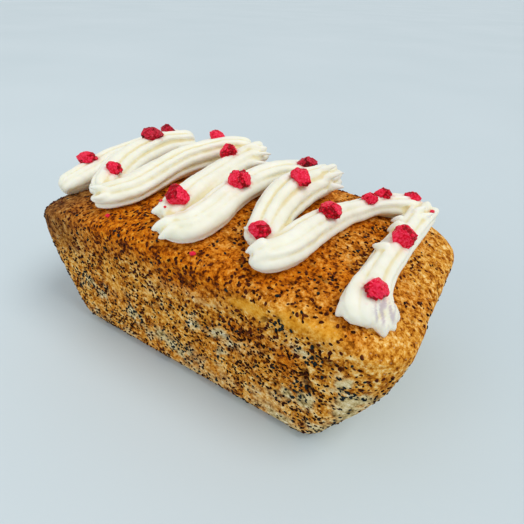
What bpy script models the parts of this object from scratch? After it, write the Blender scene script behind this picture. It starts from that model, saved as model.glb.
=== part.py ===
"""Poppy seed loaf cake, topped with one zigzag ribbon of piped frosting and freeze-dried raspberry pieces.

The long side runs along X and the front long side faces -Y. Lengths are in metres and the base is at z = 0.
"""

import math
import random

import bmesh
import bpy
from mathutils import Matrix, Vector, noise
from mathutils.bvhtree import BVHTree

GAP = 0.0003  # between pieces that touch
OVERHEAD = 1.0  # a height above everything

# The loaf: a tapered tin shape whose ends lean in towards the base, with a domed top.
LENGTH = 0.180
WIDTH = 0.095
END_HEIGHT = 0.0520  # of the rim at both ends
RIM_ARCH = 0.0080  # how much higher the rim is at mid length
CROWN = 0.0095  # rise of the crown above the rim
CROWN_POWER = 2.9  # higher is flatter on top, with a tighter roll at the rim
END_LEAN = 0.0255  # of each end, from rim to base
LEAN_POWER = 1.62
RIM_CORNER = 0.0175  # corner radii in plan
BASE_CORNER = 0.0065
BASE_EDGE = 0.0065  # radius of the edge all round the base
BASE_EDGE_TURNS = (90.0, 58.0, 29.0, 0.0)  # degrees, from flat to upright
SMALLEST_CORNER = 0.0020
CORNER_STEPS = 4
LONG_STEPS = 13
SHORT_STEPS = 6
WALL_LEVELS = (0.22, 0.36, 0.50, 0.64, 0.78, 0.90, 1.0)
CROWN_RINGS = (0.985, 0.955, 0.91, 0.84, 0.74, 0.60, 0.42, 0.22)
CRAG = 0.0005  # unevenness of the crust
CRAG_SCALE = 45.0
CRAG_FADE = 0.0120  # above the base, over which the unevenness grows from none
SLOPE_STEP = 0.0005  # for the slope of the crust

# The largest poppy seeds, which stand out from the crust.
SEED_COUNT = 120
SEED_CHANCE = 7
SEED_TRIES = 6000
SEED_RADIUS = 0.00072
SEED_STRETCH = 1.2
SEED_SPACING = 0.0112
SEED_SINK = 0.40  # share of its height below the crust
SEED_LOWEST = 0.0080  # above the base
SEED_CLEARANCE = 0.0020  # from the frosting

# The frosting: a ribbon that folds back on itself at each long side. Millimetres in plan.
STRANDS = (  # points along each strand: x, y, half width, lift above the crust
    (
        (-81, -32.5, 5.6, 0.3), (-78, -25, 6.8, 0.8), (-76, -12, 8, 1.6), (-74, 4, 8.5, 2.8),
        (-69, 20, 8.5, 3.6), (-61, 33, 8.2, 3.6),
    ),
    (
        (-54, 33, 8.2, 3.2), (-60.5, 20, 9, 4), (-62, 5, 9, 3.5), (-59, -12, 8.6, 2.6), (-53.5, -26, 7.2, 1.5),
        (-50, -33, 6.4, 1),
    ),
    (
        (-50, -33.5, 6.2, 0), (-44, -32.5, 7.2, 0), (-38.5, -26, 7.4, 0.3), (-38, -16, 7.4, 1.2),
        (-38.5, -4, 7.2, 2.6), (-36.5, 6, 7.2, 4), (-31.5, 18, 7, 5.2), (-25, 27.5, 7, 6), (-17, 34, 6.6, 5.6),
    ),
    (
        (-10.5, 33, 7.2, 4.8), (-12.5, 25, 7.1, 3.6), (-13.8, 14, 6.9, 2.4), (-13, 2, 6.9, 1.5), (-12, -12, 7, 0.8),
        (-11, -23, 7, 0.3), (-9.5, -36, 6.4, 0),
    ),
    (
        (-9.5, -36.5, 5.4, 0), (-3.5, -37.5, 6.4, 0), (2.5, -35, 7.1, 0), (4.2, -26, 7.3, 0), (3, -15, 7.3, 0.3),
        (2.8, -3, 7.1, 1.1), (4.8, 9, 6.8, 2.3), (9.5, 20, 6.3, 3.6), (21, 32, 5.6, 4.4),
    ),
    (
        (28, 31, 7.3, 3.6), (27, 20, 7.8, 3.2), (24.5, 8, 8.7, 2.4), (23.5, -4, 8.7, 1.2), (25, -16, 8, 0.3),
        (29.5, -31, 7, 0),
    ),
    (
        (30, -34.5, 5.8, 0), (35, -33.5, 6.8, 0), (39, -27, 7.1, 0), (40, -17, 7.2, 0), (41.5, -5, 6.6, 0),
        (43.5, 5, 6, 0), (47.5, 15.5, 5.4, 0.2), (53.5, 27, 5.6, 0.8), (66, 36, 6.4, 2),
    ),
    (
        (70.5, 38, 6.6, 2), (70, 24, 6.3, 0.8), (69.6, 10, 6, 0.2), (69.2, -4, 6, 0), (68.8, -15, 6.2, -0.2),
        (69, -24, 6.8, -0.6), (70, -31, 8.2, -1.2), (71.5, -36, 8.6, -1.8), (73.5, -39.5, 7.5, -2.2),
    ),
)
CENTRE_SHARE = 0.62  # height of a strand's middle above its lift, as a share of the half width
HEIGHT_SHARE = 0.84  # half height, as a share of the half width
KEEL = 0.75  # how much a lifted strand narrows towards its underside
KEEL_LIFT = 0.0030  # lift from which it narrows that much
CURVE_STEPS = 12
STATION = 0.0068  # spacing of the sections along a strand
NOSE = 0.0062  # length over which a strand's ends round off
NOSE_TIP = 0.30  # share of the full size that is left at the very end
RIDGES = 6
RIDGE_SWEEP = 240.0  # degrees of the section that the ridges span
PLAIN_ANGLES = (240.0, 270.0, 300.0)  # of the underside, which has no ridges
RIDGE_DEPTH = 0.13  # share of the radius
RIDGE_REACH = 0.22  # how far ridge ends stand out beyond the grooves, as a share of the section
SMEAR_LENGTH = 0.014  # at the ribbon's end, which is pressed flat and flares
SMEAR_FLATTENING = 0.50

# Freeze-dried raspberry pieces: place (x, y), length, width, height, turn in degrees. Millimetres.
RASPBERRIES = (
    (-81.0, -16.5, 11.0, 7.5, 6.5, 20),
    (-52.0, -23.5, 6.5, 8.5, 6.5, 75),
    (-62.5, 11.0, 12.0, 8.0, 7.0, 35),
    (-67.0, 27.0, 8.5, 7.0, 6.0, 10),
    (-32.5, 26.5, 9.0, 6.5, 6.0, 5),
    (-17.5, 15.5, 9.5, 9.0, 8.0, 60),
    (-9.0, -30.0, 11.0, 10.0, 8.5, 120),
    (4.0, -7.0, 10.5, 9.5, 8.0, 30),
    (19.0, 26.0, 10.0, 6.5, 5.5, 15),
    (28.0, 2.5, 10.5, 8.0, 7.0, -20),
    (29.0, -30.5, 8.5, 8.0, 7.0, 15),
    (44.3, -4.0, 9.5, 8.5, 7.5, -30),
    (51.5, 20.5, 7.0, 6.0, 5.0, 20),
    (54.5, 29.0, 8.0, 6.0, 5.0, 35),
    (66.0, 37.0, 8.0, 6.5, 5.0, -10),
    (71.5, 2.0, 10.0, 9.5, 8.5, 80),
    (73.0, -32.5, 8.0, 8.0, 6.5, -35),
)
RASPBERRY_SINK = 0.34  # share of its height that is pressed into the frosting
LUMP = 0.17  # unevenness of a piece, as a share of its radius
LUMP_SCALE = 1.9
FINE_LUMP_SCALE = 4.1
LUMP_SHIFT = 0.43  # makes each piece a different lump


def clear_scene():
    for obj in list(bpy.data.objects):
        bpy.data.objects.remove(obj, do_unlink=True)


def make_material(name, colour, roughness):
    material = bpy.data.materials.new(name)
    material.use_nodes = True
    shader = material.node_tree.nodes["Principled BSDF"]
    shader.inputs["Base Color"].default_value = (*colour, 1.0)
    shader.inputs["Roughness"].default_value = roughness
    shader.inputs["Metallic"].default_value = 0.0
    return material


def make_object(name, points, faces, material=None):
    mesh = bpy.data.meshes.new(name)
    mesh.from_pydata([tuple(point) for point in points], [], faces)
    if material:
        mesh.materials.append(material)
    obj = bpy.data.objects.new(name, mesh)
    bpy.context.scene.collection.objects.link(obj)
    return obj


def smoothstep(value):
    value = min(max(value, 0.0), 1.0)
    return value * value * (3.0 - 2.0 * value)


def apply_modifiers(obj):
    """Bakes the object's modifiers into its mesh."""
    graph = bpy.context.evaluated_depsgraph_get()
    mesh = bpy.data.meshes.new_from_object(obj.evaluated_get(graph))
    obj.modifiers.clear()
    obj.data = mesh


def boolean_with(obj, others, operation):
    """Joins the other objects to this one, or cuts them from it, in one step, and removes them."""
    collection = bpy.data.collections.new(operation.lower())
    bpy.context.scene.collection.children.link(collection)
    for other in others:
        collection.objects.link(other)
    modifier = obj.modifiers.new(operation.lower(), "BOOLEAN")
    modifier.operation = operation
    modifier.operand_type = "COLLECTION"
    modifier.collection = collection
    modifier.solver = "EXACT"
    apply_modifiers(obj)
    for other in others:
        bpy.data.objects.remove(other, do_unlink=True)
    bpy.data.collections.remove(collection)


def keep_largest_island(obj):
    """Drops loose scraps and sealed hollows: what isn't connected to the largest shell."""
    bm = bmesh.new()
    bm.from_mesh(obj.data)
    unseen = set(bm.verts)
    islands = []
    while unseen:
        stack = [unseen.pop()]
        island = set(stack)
        while stack:
            for edge in stack.pop().link_edges:
                for vert in edge.verts:
                    if vert in unseen:
                        unseen.remove(vert)
                        island.add(vert)
                        stack.append(vert)
        islands.append(island)
    islands.sort(key=len)
    for island in islands[:-1]:
        bmesh.ops.delete(bm, geom=list(island), context="VERTS")
    bmesh.ops.triangulate(bm, faces=bm.faces)
    bm.to_mesh(obj.data)
    bm.free()


def surface_of(obj):
    """For finding the nearest point of the object, or where a line meets it."""
    points = [vert.co for vert in obj.data.vertices]
    return BVHTree.FromPolygons(points, [tuple(face.vertices) for face in obj.data.polygons])


# ---- loaf ----


def rounded_rectangle(half_x, half_y, radius):
    """One ring, anticlockwise from above, with the same number of points at every size."""
    corners = ((1, 1), (-1, 1), (-1, -1), (1, -1))
    ring = []
    for index, (side_x, side_y) in enumerate(corners):
        centre_x = side_x * (half_x - radius)
        centre_y = side_y * (half_y - radius)
        for step in range(CORNER_STEPS + 1):
            angle = (index + step / CORNER_STEPS) * math.pi / 2
            ring.append((centre_x + radius * math.cos(angle), centre_y + radius * math.sin(angle)))
        next_x, next_y = corners[(index + 1) % 4]
        angle = (index + 1) * math.pi / 2
        target_x = next_x * (half_x - radius) + radius * math.cos(angle)
        target_y = next_y * (half_y - radius) + radius * math.sin(angle)
        start_x, start_y = ring[-1]
        steps = LONG_STEPS if index % 2 == 0 else SHORT_STEPS
        for step in range(1, steps):
            share = step / steps
            ring.append((start_x + (target_x - start_x) * share, start_y + (target_y - start_y) * share))
    return ring


def rim_height(x):
    return END_HEIGHT + RIM_ARCH * (1.0 - min(abs(x) / (LENGTH / 2), 1.0) ** 2)


def crown_rise(scale):
    """Height above the rim on a ring that is this share of the rim's size."""
    return CROWN * (1.0 - min(scale, 1.0) ** CROWN_POWER) ** (1.0 / CROWN_POWER)


def ring_scale(x, y):
    """How large the rim's outline is when it is shrunk to pass through (x, y)."""
    x, y = abs(x), abs(y)
    scale = max(x / (LENGTH / 2), y / (WIDTH / 2))
    inner_x = LENGTH / 2 - RIM_CORNER
    inner_y = WIDTH / 2 - RIM_CORNER
    if x <= scale * inner_x or y <= scale * inner_y:
        return scale
    square = inner_x**2 + inner_y**2 - RIM_CORNER**2
    half = x * inner_x + y * inner_y
    return (half - math.sqrt(max(half**2 - square * (x * x + y * y), 0.0))) / square


def crust_height(x, y):
    """Height of the loaf's top."""
    return rim_height(x) + crown_rise(ring_scale(x, y))


def crust_normal(x, y):
    rise_x = crust_height(x + SLOPE_STEP, y) - crust_height(x - SLOPE_STEP, y)
    rise_y = crust_height(x, y + SLOPE_STEP) - crust_height(x, y - SLOPE_STEP)
    return Vector((-rise_x, -rise_y, 2 * SLOPE_STEP)).normalized()


def wall_ring(level, inset=0.0, height=None):
    """A ring of the sides at this share of the rim's height."""
    lean = END_LEAN * (1.0 - level) ** LEAN_POWER
    corner = BASE_CORNER + (RIM_CORNER - BASE_CORNER) * level
    corner = max(corner - inset / 2, SMALLEST_CORNER)
    outline = rounded_rectangle(LENGTH / 2 - lean - inset, WIDTH / 2 - inset, corner)
    return [Vector((x, y, level * rim_height(x) if height is None else height)) for x, y in outline]


def crown_ring(scale):
    outline = rounded_rectangle(LENGTH / 2, WIDTH / 2, RIM_CORNER)
    return [
        Vector((x * scale, y * scale, rim_height(x * scale) + crown_rise(scale)))
        for x, y in outline
    ]


def loaf_rings():
    rings = []
    for turn in BASE_EDGE_TURNS:
        angle = math.radians(turn)
        height = BASE_EDGE * (1.0 - math.sin(angle))
        inset = BASE_EDGE * (1.0 - math.cos(angle))
        rings.append(wall_ring(height / END_HEIGHT, inset, height))
    rings += [wall_ring(level) for level in WALL_LEVELS]
    rings += [crown_ring(scale) for scale in CROWN_RINGS]
    return rings


def roughen(point):
    """Moves a point of the crust in or out a little, by smooth noise that fades out at the base."""
    outward = Vector((point.x / LENGTH, point.y / WIDTH, (point.z - END_HEIGHT / 2) / END_HEIGHT))
    amount = CRAG * noise.noise(point * CRAG_SCALE) * smoothstep(point.z / CRAG_FADE)
    return point + outward.normalized() * amount


def build_loaf(name, material, grow=0.0):
    rings = loaf_rings()
    count = len(rings[0])
    points = [roughen(point) for ring in rings for point in ring]
    centre = len(points)
    points.append(Vector((0.0, 0.0, crust_height(0.0, 0.0))))
    faces = [tuple(reversed(range(count)))]
    for level in range(len(rings) - 1):
        for step in range(count):
            after = (step + 1) % count
            low, high = level * count, (level + 1) * count
            faces.append((low + step, low + after, high + after, high + step))
    last = (len(rings) - 1) * count
    faces += [(last + step, last + (step + 1) % count, centre) for step in range(count)]
    obj = make_object(name, points, faces, material)
    if grow:
        push = obj.modifiers.new("grow", "DISPLACE")
        push.strength = grow
        push.mid_level = 0.0
        apply_modifiers(obj)
    return obj


# ---- frosting ----


def strand_stations(rows):
    """Evenly spaced (x, y, half width, lift) along the smooth curve through a strand's points."""
    knots = [Vector(row) / 1000 for row in rows]
    knots = [knots[0] * 2 - knots[1], *knots, knots[-1] * 2 - knots[-2]]
    curve = []
    for before, start, end, after in zip(knots, knots[1:], knots[2:], knots[3:]):
        for step in range(CURVE_STEPS):
            share = step / CURVE_STEPS
            slope = (end - before) / 2
            bend = before - start * 2.5 + end * 2 - after / 2
            twist = (start - end) * 1.5 + (after - before) / 2
            curve.append(start + slope * share + bend * share**2 + twist * share**3)
    curve.append(knots[-2])
    return resample(curve)


def resample(route):
    lengths = [0.0]
    for before, after in zip(route, route[1:]):
        lengths.append(lengths[-1] + (after - before).xy.length)
    count = round(lengths[-1] / STATION)
    stations = []
    segment = 0
    for step in range(count + 1):
        target = lengths[-1] * step / count
        while segment < len(route) - 2 and lengths[segment + 1] < target:
            segment += 1
        span = lengths[segment + 1] - lengths[segment]
        stations.append(route[segment].lerp(route[segment + 1], (target - lengths[segment]) / span))
    return stations, lengths[-1] / count


def section_angles():
    """(angle, is a ridge) round the section: ridges and grooves above, plain points below."""
    angles = []
    start = 90.0 - RIDGE_SWEEP / 2
    step = RIDGE_SWEEP / (RIDGES - 1)
    for index in range(RIDGES):
        angles.append((math.radians(start + index * step), True))
        if index < RIDGES - 1:
            angles.append((math.radians(start + (index + 0.5) * step), False))
    for degrees in PLAIN_ANGLES:
        angles.append((math.radians(degrees), False))
    return angles


def nose_scale(distance):
    """Size of the section this far from a strand's end."""
    share = min(distance / NOSE, 1.0)
    return NOSE_TIP + (1.0 - NOSE_TIP) * math.sqrt(max(1.0 - (1.0 - share) ** 2, 0.0))


def strand_section(station, heading, from_start, from_end, last):
    """The ring of points round one station of a strand. A lifted strand has a keel that rests on the crust."""
    x, y, half_width, lift = station
    normal = crust_normal(x, y)
    across = Vector((heading.x, heading.y, 0.0)).cross(normal).normalized()
    half_height = HEIGHT_SHARE * half_width
    if last:
        half_height *= 1.0 - SMEAR_FLATTENING * (1.0 - smoothstep(from_end / SMEAR_LENGTH))
    centre = Vector((x, y, crust_height(x, y))) + normal * (CENTRE_SHARE * half_width + lift)
    narrowing = KEEL * min(max(lift, 0.0) / KEEL_LIFT, 1.0)
    end = nose_scale(min(from_start, from_end))
    ring = []
    for angle, ridge in section_angles():
        lobe = 1.0 + RIDGE_DEPTH / 2 if ridge else 1.0 - RIDGE_DEPTH / 2
        size = min(end + (RIDGE_REACH if ridge else 0.0), 1.0) * lobe
        side, rise = half_width * math.cos(angle), half_height * math.sin(angle)
        if rise < 0.0:
            side *= 1.0 + narrowing * math.sin(angle)
            rise *= 1.0 + max(lift, 0.0) / half_height
        ring.append(centre + across * size * side + normal * size * rise)
    return ring


def build_strand(index):
    stations, spacing = strand_stations(STRANDS[index])
    rings = []
    for number, station in enumerate(stations):
        before = stations[max(number - 1, 0)]
        after = stations[min(number + 1, len(stations) - 1)]
        from_start = number * spacing
        from_end = (len(stations) - 1 - number) * spacing
        last = index == len(STRANDS) - 1
        rings.append(strand_section(station, after - before, from_start, from_end, last))
    count = len(rings[0])
    points = [point for ring in rings for point in ring]
    faces = [tuple(range(count)), tuple(reversed(range((len(rings) - 1) * count, len(rings) * count)))]
    for level in range(len(rings) - 1):
        for step in range(count):
            after = (step + 1) % count
            low, high = level * count, (level + 1) * count
            faces.append((low + step, high + step, high + after, low + after))
    obj = make_object(f"strand_{index + 1}", points, faces)
    bm = bmesh.new()
    bm.from_mesh(obj.data)
    bmesh.ops.recalc_face_normals(bm, faces=bm.faces)
    bmesh.ops.triangulate(bm, faces=bm.faces)
    bm.to_mesh(obj.data)
    bm.free()
    return obj


def build_ribbon(name, material):
    """All strands in one body, not yet cut to its neighbours."""
    strands = [build_strand(index) for index in range(len(STRANDS))]
    ribbon = strands.pop(0)
    ribbon.name = name
    boolean_with(ribbon, strands, "UNION")
    return ribbon


# ---- toppings ----


def build_raspberry(name, row, surface, material, grow=0.0):
    """A lumpy broken piece, pressed a little into the frosting."""
    x, y, length, width, height, turn = row
    size = Vector((length, width, height)) / 2000 + Vector((grow, grow, grow))
    landing = surface.ray_cast(Vector((x / 1000, y / 1000, OVERHEAD)), Vector((0.0, 0.0, -1.0)))[0]
    middle = landing + Vector((0.0, 0.0, height / 1000 * (0.5 - RASPBERRY_SINK)))
    turning = Matrix.Rotation(math.radians(turn), 3, "Z")
    place = Vector((x, y, length)) * LUMP_SHIFT
    obj = make_object(name, [], [], material)
    bm = bmesh.new()
    bmesh.ops.create_icosphere(bm, subdivisions=2, radius=1.0)
    for vert in bm.verts:
        lump = noise.noise(vert.co * LUMP_SCALE + place) + noise.noise(vert.co * FINE_LUMP_SCALE + place) / 2
        vert.co = turning @ (vert.co * (1.0 + LUMP * lump) * size) + middle
    bm.to_mesh(obj.data)
    bm.free()
    return obj


def seed_places(loaf, surface):
    """(place, normal) of the largest seeds, spread by area and clear of each other and of the frosting."""
    chance = random.Random(SEED_CHANCE)
    loaf.data.calc_loop_triangles()
    triangles = loaf.data.loop_triangles
    areas = [triangle.area for triangle in triangles]
    places = []
    for triangle in chance.choices(triangles, weights=areas, k=SEED_TRIES):
        corners = [loaf.data.vertices[index].co for index in triangle.vertices]
        first, second = sorted((chance.random(), chance.random()))
        place = corners[0] * first + corners[1] * (second - first) + corners[2] * (1.0 - second)
        distance = surface.find_nearest(place)[3]
        covered = surface.ray_cast(place, Vector((0.0, 0.0, 1.0)))[0] is not None
        crowded = any((place - other).length < SEED_SPACING for other, _ in places)
        if place.z > SEED_LOWEST and distance > SEED_CLEARANCE and not covered and not crowded:
            places.append((place, triangle.normal.copy()))
    return places[:SEED_COUNT]


def build_seed(number, place, normal):
    chance = random.Random(number)
    spin = Matrix.Rotation(chance.uniform(0.0, math.tau), 3, "Z")
    frame = normal.to_track_quat("Z", "Y").to_matrix() @ spin
    obj = make_object(f"seed_{number}", [], [])
    bm = bmesh.new()
    bmesh.ops.create_icosphere(bm, subdivisions=1, radius=SEED_RADIUS)
    for vert in bm.verts:
        height = vert.co.z + SEED_RADIUS * (1.0 - 2.0 * SEED_SINK)
        vert.co = frame @ Vector((vert.co.x * SEED_STRETCH, vert.co.y, height)) + place
    bm.to_mesh(obj.data)
    bm.free()
    return obj


def recentre(objects):
    """Moves everything so that the whole stands centred over the origin, on z = 0."""
    points = [vert.co for obj in objects for vert in obj.data.vertices]
    low = [min(point[axis] for point in points) for axis in range(3)]
    high = [max(point[axis] for point in points) for axis in range(3)]
    shift = Vector((-(low[0] + high[0]) / 2, -(low[1] + high[1]) / 2, -low[2]))
    for obj in objects:
        obj.data.transform(Matrix.Translation(shift))


def main():
    clear_scene()
    crust = make_material("crust", (0.42, 0.17, 0.035), 0.75)
    cream = make_material("cream", (0.89, 0.85, 0.70), 0.45)
    berry = make_material("berry", (0.52, 0.012, 0.05), 0.6)

    ribbon = build_ribbon("frosting_ribbon", cream)
    keep_largest_island(ribbon)
    surface = surface_of(ribbon)
    pieces = []
    cutters = [build_loaf("loaf_space", crust, GAP)]
    for number, row in enumerate(RASPBERRIES, start=1):
        pieces.append(build_raspberry(f"raspberry_{number:02d}", row, surface, berry))
        cutters.append(build_raspberry(f"raspberry_space_{number:02d}", row, surface, berry, GAP))
    boolean_with(ribbon, cutters, "DIFFERENCE")
    keep_largest_island(ribbon)
    ribbon.data.materials.clear()
    ribbon.data.materials.append(cream)

    loaf = build_loaf("loaf_cake", crust)
    seeds = [build_seed(number, *spot) for number, spot in enumerate(seed_places(loaf, surface))]
    boolean_with(loaf, seeds, "UNION")
    keep_largest_island(loaf)
    recentre([loaf, ribbon, *pieces])


main()
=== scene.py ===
"""Looks of the poppy seed loaf cake: crust, seeds, piped frosting, raspberry pieces, floor, light and camera.

The shapes repeat the loaf's and the ribbon's formulas at a finer resolution. Lengths are in metres.
"""

import math
import random

import bmesh
import bpy
import numpy as np
from mathutils import Matrix, Vector, noise
from mathutils.bvhtree import BVHTree


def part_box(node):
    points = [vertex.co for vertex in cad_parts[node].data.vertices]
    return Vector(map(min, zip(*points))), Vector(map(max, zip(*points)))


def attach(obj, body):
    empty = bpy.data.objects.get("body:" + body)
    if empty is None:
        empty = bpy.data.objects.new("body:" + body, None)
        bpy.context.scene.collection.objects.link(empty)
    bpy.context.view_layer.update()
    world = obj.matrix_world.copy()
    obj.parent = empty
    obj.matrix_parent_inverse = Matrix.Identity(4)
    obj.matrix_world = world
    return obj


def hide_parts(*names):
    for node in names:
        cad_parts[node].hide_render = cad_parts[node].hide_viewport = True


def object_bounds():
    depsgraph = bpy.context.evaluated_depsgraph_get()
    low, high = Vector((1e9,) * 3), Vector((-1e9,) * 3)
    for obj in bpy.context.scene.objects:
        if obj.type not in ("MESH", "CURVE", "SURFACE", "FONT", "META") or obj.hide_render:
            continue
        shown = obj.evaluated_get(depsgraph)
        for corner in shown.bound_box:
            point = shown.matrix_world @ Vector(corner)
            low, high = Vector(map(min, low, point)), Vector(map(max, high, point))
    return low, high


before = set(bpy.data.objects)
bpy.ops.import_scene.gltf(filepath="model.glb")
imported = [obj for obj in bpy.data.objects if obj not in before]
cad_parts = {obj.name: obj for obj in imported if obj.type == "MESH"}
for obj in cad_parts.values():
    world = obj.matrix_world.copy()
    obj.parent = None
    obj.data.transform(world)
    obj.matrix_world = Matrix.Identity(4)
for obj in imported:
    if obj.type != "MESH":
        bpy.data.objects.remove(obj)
cad_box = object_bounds()
bpy.context.scene.view_settings.view_transform = "Standard"

CENTRING = Vector((0.0002, 0.0, 0.0))  # from the loaf's own middle to the frame's origin
UP = Vector((0.0, 0.0, 1.0))

# ---- camera: fitted to the loaf's outline ----
AZIMUTH, ELEVATION, ROLL = 30.77, 35.33, 2.227
DISTANCE = 0.2276
TARGET = Vector((-0.003896, 0.02758, 0.01624))
LENS, SENSOR = 27.12, 36.0
FOCAL_PIXELS, CENTRE_PIXEL = 394.8, 262.0

# ---- loaf ----
LENGTH, WIDTH = 0.180, 0.095
END_HEIGHT, RIM_ARCH = 0.0520, 0.0080
CROWN, CROWN_POWER = 0.0095, 2.9
END_LEAN, LEAN_POWER = 0.0255, 1.62
RIM_CORNER, BASE_CORNER, BASE_EDGE = 0.0175, 0.0065, 0.0065
SMALLEST_CORNER = 0.0020
CRAGS = (  # height, scale and shift of each layer of unevenness
    (0.00050, 45.0, (0.0, 0.0, 0.0)),
    (0.00030, 150.0, (0.0, 0.0, 0.0)),
    (0.00022, 420.0, (3.1, 0.2, 1.7)),
)
PIT_DEPTH, PIT_SCALE, PIT_SHIFT, PIT_RANGE = 0.00045, 300.0, (7.0, 9.0, 2.0), (0.35, 0.75)
CRAG_FADE = 0.0120  # the crust is fully uneven from this height up
# The last three set how painted shade darkens the crust's hollows and creases.
CRUST_SMOOTHING, CRUST_DEPTH, CREASE_SHADE = 3, 0.00008, 1.8  # how hollows and creases darken
PALE_PATCHES = (  # middle, half sizes, strength
    ((0.023, -0.0475, 0.036), (0.018, 0.008, 0.011), 1.1),
    ((0.05, -0.0475, 0.049), (0.013, 0.008, 0.007), 1.1),
    ((0.058, -0.0475, 0.026), (0.013, 0.008, 0.011), 1.1),
    ((0.076, -0.0475, 0.036), (0.011, 0.012, 0.016), 1.1),
    ((-0.046, -0.0475, 0.026), (0.016, 0.008, 0.016), 0.8),
    ((-0.014, -0.0475, 0.016), (0.018, 0.008, 0.009), 0.7),
)
FOLDS = (  # middle, half sizes, height
    ((0.066, -0.0475, 0.0518), (0.009, 0.006, 0.0022), 0.0009),
    ((0.0598, -0.0475, 0.037), (0.0024, 0.006, 0.006), -0.002),
    ((0.0618, -0.0475, 0.0325), (0.0022, 0.006, 0.005), -0.0016),
    ((0.008, -0.0475, 0.033), (0.012, 0.006, 0.002), 0.0006),
)
SEED_CLUSTERS = (  # middle, half sizes, strength
    ((0.0095, -0.0475, 0.037), (0.0075, 0.008, 0.008), 1.0),
    ((0.023, -0.0475, 0.025), (0.009, 0.008, 0.009), 1.0),
    ((0.0495, -0.0475, 0.055), (0.0055, 0.008, 0.005), 1.0),
    ((0.0575, -0.0475, 0.028), (0.0085, 0.008, 0.01), 1.0),
    ((0.075, -0.0475, 0.04), (0.008, 0.01, 0.009), 1.0),
    ((-0.001, -0.0475, 0.015), (0.011, 0.008, 0.008), 1.0),
    ((-0.0585, -0.0475, 0.028), (0.008, 0.008, 0.011), 1.0),
    ((-0.026, -0.0475, 0.021), (0.009, 0.008, 0.008), 1.0),
    ((0.062, -0.0475, 0.047), (0.006, 0.008, 0.005), 1.0),
)
ORANGE_PATCHES = (  # middle, half sizes, strength
    ((0.0525, -0.0475, 0.04), (0.007, 0.008, 0.01), 1.0),
    ((0.0675, -0.0475, 0.026), (0.005, 0.008, 0.009), 1.0),
    ((0.03, -0.0475, 0.044), (0.009, 0.008, 0.006), 1.0),
)
CORNER_STEPS, LONG_STEPS, SHORT_STEPS = 20, 160, 84
EDGE_STEPS, WALL_STEPS, CROWN_STEPS = 8, 72, 64
EDGE_LEVEL = 0.15  # the walls start at this share of their height, above the rounded foot

# ---- colour zones of the crust ----
FOOT_HEIGHTS = (0.006, 0.030)
NEAR_SIDE, NEAR_END, NEAR_TOP = (0.020, 0.075), (0.060, 0.086), (0.050, 0.085)
PALE_END_HEIGHTS = (0.024, 0.064)
PALE_RIM, BROWN_RIM = (-0.008, 0.0), (-0.016, 0.001)  # from below the rim to above it
LESS_BROWN = ((0.046, -0.045, 0.056), (0.036, 0.016, 0.011))
# Painted highlight, in a golden tone, where the top rolls over its front edge and on the near end.
GOLDEN_HIGHLIGHTS = (  # middle, half sizes, strength
    ((0.06, -0.0455, 0.059), (0.02, 0.01, 0.0065), 1.3),
    ((0.038, -0.047, 0.057), (0.02, 0.01, 0.006), 1.04),
    ((0.08, -0.036, 0.052), (0.018, 0.018, 0.014), 0.3),
)
SMOKY_LENGTH, SMOKY_HEIGHTS = (-0.078, -0.036), (0.030, 0.055)

# ---- frosting ----
STRANDS = (  # points along each strand: x, y, half width, lift above the crust, all in mm
    (
        (-81, -32.5, 5.6, 0.3), (-78, -25, 6.8, 0.8), (-76, -12, 8, 1.6), (-74, 4, 8.5, 2.8),
        (-69, 20, 8.5, 3.6), (-61, 33, 8.2, 3.6),
    ),
    (
        (-54, 33, 8.2, 3.2), (-60.5, 20, 9, 4), (-62, 5, 9, 3.5), (-59, -12, 8.6, 2.6),
        (-53.5, -26, 7.2, 1.5), (-50, -33, 6.4, 1),
    ),
    (
        (-50, -33.5, 6.2, 0), (-44, -32.5, 7.2, 0), (-38.5, -26, 7.4, 0.3), (-38, -16, 7.4, 1.2),
        (-38.5, -4, 7.2, 2.6), (-36.5, 6, 7.2, 4), (-31.5, 18, 7, 5.2), (-25, 27.5, 7, 6),
        (-17, 34, 6.6, 5.6),
    ),
    (
        (-10.5, 33, 7.2, 4.8), (-12.5, 25, 7.1, 3.6), (-13.8, 14, 6.9, 2.4), (-13, 2, 6.9, 1.5),
        (-12, -12, 7, 0.8), (-11, -23, 7, 0.3), (-9.5, -36, 6.4, 0),
    ),
    (
        (-9.5, -36.5, 5.4, 0), (-3.5, -37.5, 6.4, 0), (2.5, -35, 7.1, 0), (4.2, -26, 7.3, 0),
        (3, -15, 7.3, 0.3), (2.8, -3, 7.1, 1.1), (4.8, 9, 6.8, 2.3), (9.5, 20, 6.3, 3.6),
        (21, 32, 5.6, 4.4),
    ),
    (
        (28, 31, 7.3, 3.6), (27, 20, 7.8, 3.2), (24.5, 8, 8.7, 2.4), (23.5, -4, 8.7, 1.2), (25, -16, 8, 0.3),
        (29.5, -31, 7, 0),
    ),
    (
        (30, -34.5, 5.8, 0), (35, -33.5, 6.8, 0), (39, -27, 7.1, 0), (40, -17, 7.2, 0), (41.5, -5, 6.6, 0),
        (43.5, 5, 6, 0), (47.5, 15.5, 5.4, 0.2), (53.5, 27, 5.6, 0.8), (66, 36, 6.4, 2),
    ),
    (
        (70.5, 38, 6.6, 2), (70, 24, 6.3, 0.8), (69.6, 10, 6, 0.2), (69.2, -4, 6, 0), (68.8, -15, 6.2, -0.2),
        (69, -24, 6.8, -0.6), (70, -31, 8.2, -1.2), (71.5, -36, 8.6, -1.8), (73.5, -39.5, 7.5, -2.2),
    ),
)
CENTRE_SHARE, HEIGHT_SHARE = 0.62, 0.84
KEEL_LIFT = 0.0030  # a strand lifted this much or more has its whole keel
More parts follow.
